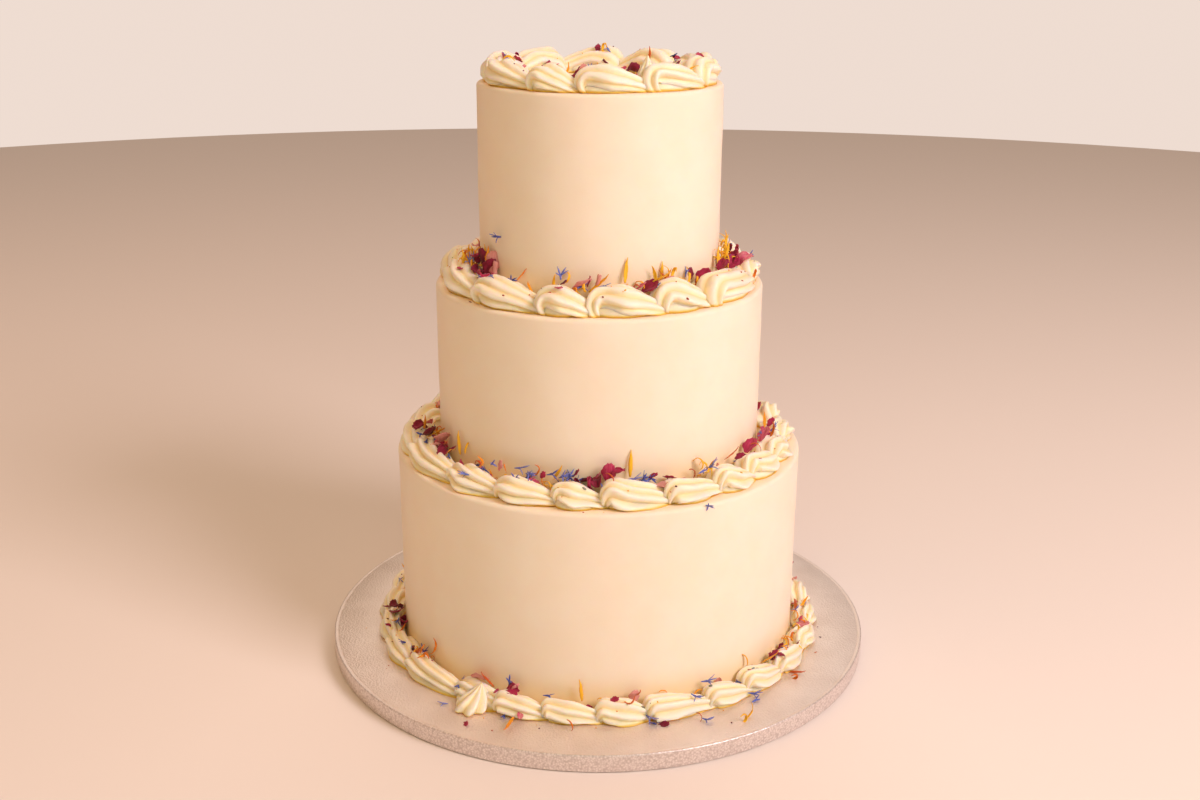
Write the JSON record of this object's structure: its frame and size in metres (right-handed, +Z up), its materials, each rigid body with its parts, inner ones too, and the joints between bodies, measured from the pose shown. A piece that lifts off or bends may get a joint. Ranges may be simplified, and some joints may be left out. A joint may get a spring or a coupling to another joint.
{
  "type": "tiered wedding cake",
  "caption": "Round tiered buttercream cake on a foil drum board, with a piped shell border round each tier and dried flower petals scattered over the piping.",
  "frame": {"origin": "centre of the drum board's underside, on the surface that the cake stands on", "axes": "+Z up through the middle of the tiers; -Y towards the front, where the shell that finishes the base border lies left of the middle"},
  "size_m": [0.3556, 0.3556, 0.3838],
  "materials": {
    "foil_board": "embossed silver foil over board",
    "buttercream": "smoothed pale cream buttercream, satin",
    "piped_buttercream": "piped pale cream buttercream, satin, yellow in the creases",
    "rose_petal": "dried rose petal, matt, wrinkled",
    "cornflower_petal": "dried cornflower petal, matt",
    "marigold_petal": "dried marigold petal, matt"
  },
  "bodies": {
    "root": {"cake_board": "foil_board", "tier_bottom": "buttercream", "tier_middle": "buttercream", "tier_top": "buttercream", "piped_border_base": "piped_buttercream", "piped_border_bottom": "piped_buttercream", "piped_border_middle": "piped_buttercream", "piped_border_top": "piped_buttercream"}
  },
  "joints": []
}
